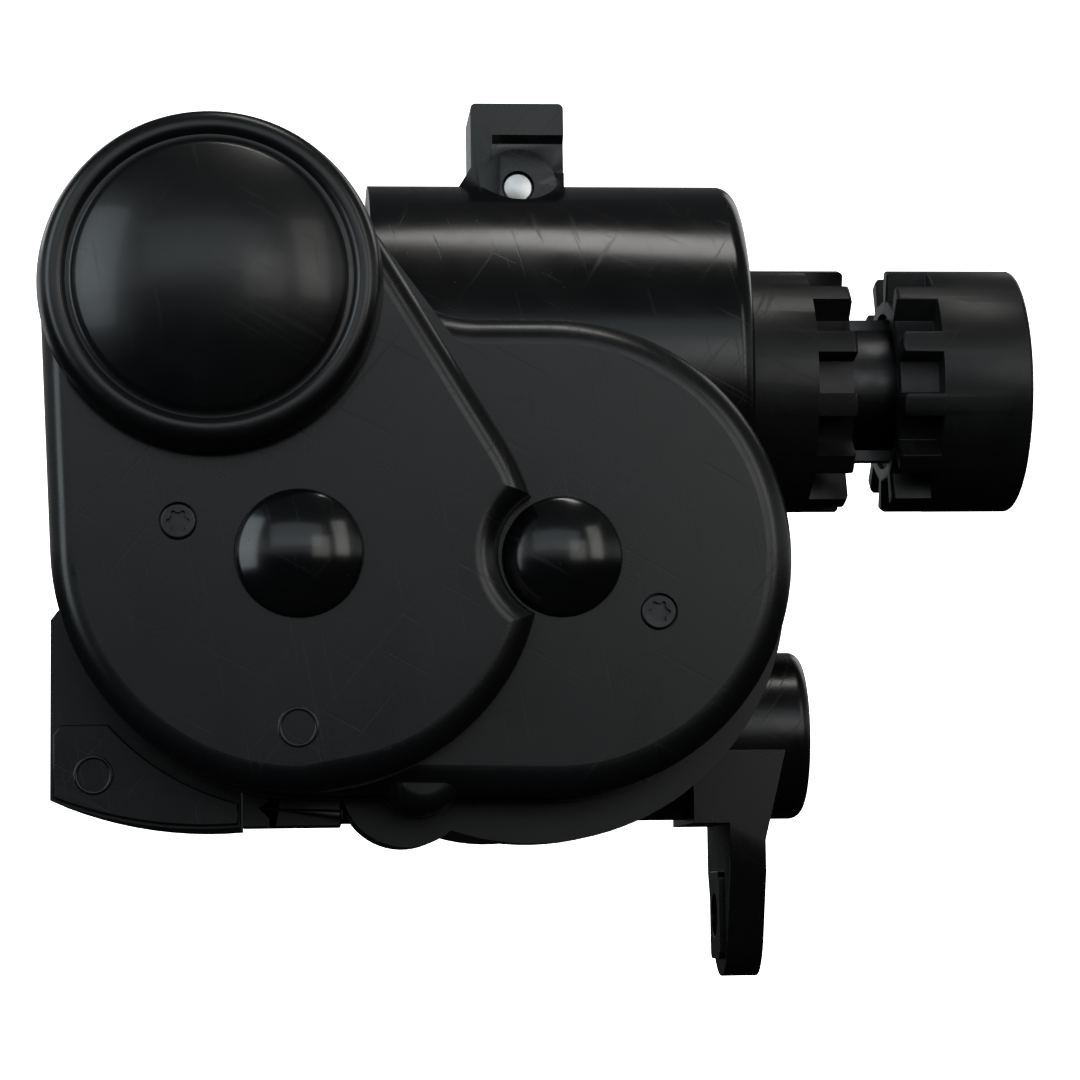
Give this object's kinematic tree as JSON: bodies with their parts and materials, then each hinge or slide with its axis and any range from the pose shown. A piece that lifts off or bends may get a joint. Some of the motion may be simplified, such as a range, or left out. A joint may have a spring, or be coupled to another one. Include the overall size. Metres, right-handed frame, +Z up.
{
  "type": "motorised actuator head",
  "caption": "Black plastic gearbox head: a motor and gear train under a two-lobed cover turn a worm wheel, whose cross shaft carries a sliding dog sleeve, with a lever tube below.",
  "frame": {"origin": "on the output shaft's axis, at the open end of its coupling bore and of the sliding sleeve", "axes": "+X along the output shaft, out of the coupling bore; +Y from the front cover to the back of the housing; +Z up, from the lever tube to the lug"},
  "size_m": [0.1781, 0.1189, 0.1626],
  "materials": {
    "cover_plastic": "glossy black moulded plastic",
    "case_plastic": "satin black moulded plastic",
    "cap_plastic": "polished black plastic",
    "dog_plastic": "fine-grained charcoal plastic",
    "tube_plastic": "satin black moulded plastic",
    "seal_rubber": "black rubber",
    "screw_steel": "blackened steel",
    "pin_steel": "bright ground steel",
    "can_steel": "plated drawn steel",
    "gear_nylon": "natural nylon",
    "bronze": "sintered bronze",
    "bush_plastic": "grey acetal",
    "magnet_ferrite": "dark ferrite and laminated steel"
  },
  "bodies": {
    "housing": {"rear_housing": "case_plastic", "worm_barrel": "case_plastic", "barrel_end_plug": "case_plastic", "front_cover": "cover_plastic", "cover_gasket": "seal_rubber", "first_bearing_cap": "cap_plastic", "second_bearing_cap": "cap_plastic", "cover_screw_left": "screw_steel", "cover_screw_right": "screw_steel", "case_screw_lower": "screw_steel", "case_screw_left": "screw_steel", "motor_cap": "cover_plastic", "cap_seal": "seal_rubber", "motor_can": "can_steel", "motor_end_bell": "gear_nylon", "magnet_left": "magnet_ferrite", "magnet_right": "magnet_ferrite", "brush_left": "magnet_ferrite", "brush_right": "magnet_ferrite", "lug_pin": "pin_steel", "corner_cover": "case_plastic", "housing_latch": "case_plastic", "output_bearing_left": "bronze", "output_bearing_right": "bronze", "shaft_seal": "seal_rubber", "worm_bearing_front": "bronze", "worm_bearing_rear": "bronze", "axle_bearing": "bronze", "lock_ring": "dog_plastic", "tube_bush_left": "bush_plastic", "tube_bush_right": "bush_plastic"},
    "rotor": {"rotor_core": "magnet_ferrite", "commutator": "bronze", "motor_shaft": "pin_steel", "motor_pinion": "bronze"},
    "first_gear": {"first_gear": "gear_nylon", "first_axle": "pin_steel"},
    "second_gear": {"second_gear": "gear_nylon", "worm_shaft": "pin_steel"},
    "output": {"worm_wheel": "bronze", "output_shaft": "pin_steel", "sleeve_key_upper": "pin_steel", "sleeve_key_lower": "pin_steel", "wheel_circlip": "pin_steel"},
    "sleeve": {"clutch_sleeve": "dog_plastic"},
    "lever": {"lever_tube": "tube_plastic", "lever_arm": "tube_plastic", "lever_eye_bush": "tube_plastic"}
  },
  "joints": [
    {"name": "output_spin", "type": "hinge", "parent": "housing", "child": "output", "pos_m": [0, 0, 0], "axis": [1, 0, 0], "continuous": true},
    {"name": "sleeve_slide", "type": "slide", "parent": "output", "child": "sleeve", "axis": [-1, 0, 0], "range_m": [0, 0.0078]},
    {"name": "second_gear_spin", "type": "hinge", "parent": "housing", "child": "second_gear", "pos_m": [-0.0904, 0, -0.0373], "axis": [0, 1, 0], "continuous": true},
    {"name": "first_gear_spin", "type": "hinge", "parent": "housing", "child": "first_gear", "pos_m": [-0.13465, 0, -0.0373], "axis": [0, 1, 0], "continuous": true},
    {"name": "rotor_spin", "type": "hinge", "parent": "housing", "child": "rotor", "pos_m": [-0.14906, 0, 0.0077], "axis": [0, 1, 0], "continuous": true},
    {"name": "lever_swing", "type": "hinge", "parent": "housing", "child": "lever", "pos_m": [0, 0, -0.0649], "axis": [1, 0, 0], "range_deg": [-35, 35]}
  ],
  "couplings": [
    {"joint": "second_gear_spin", "follows": "output_spin", "ratio": -32},
    {"joint": "first_gear_spin", "follows": "output_spin", "ratio": 102.86},
    {"joint": "rotor_spin", "follows": "output_spin", "ratio": -178.88}
  ]
}
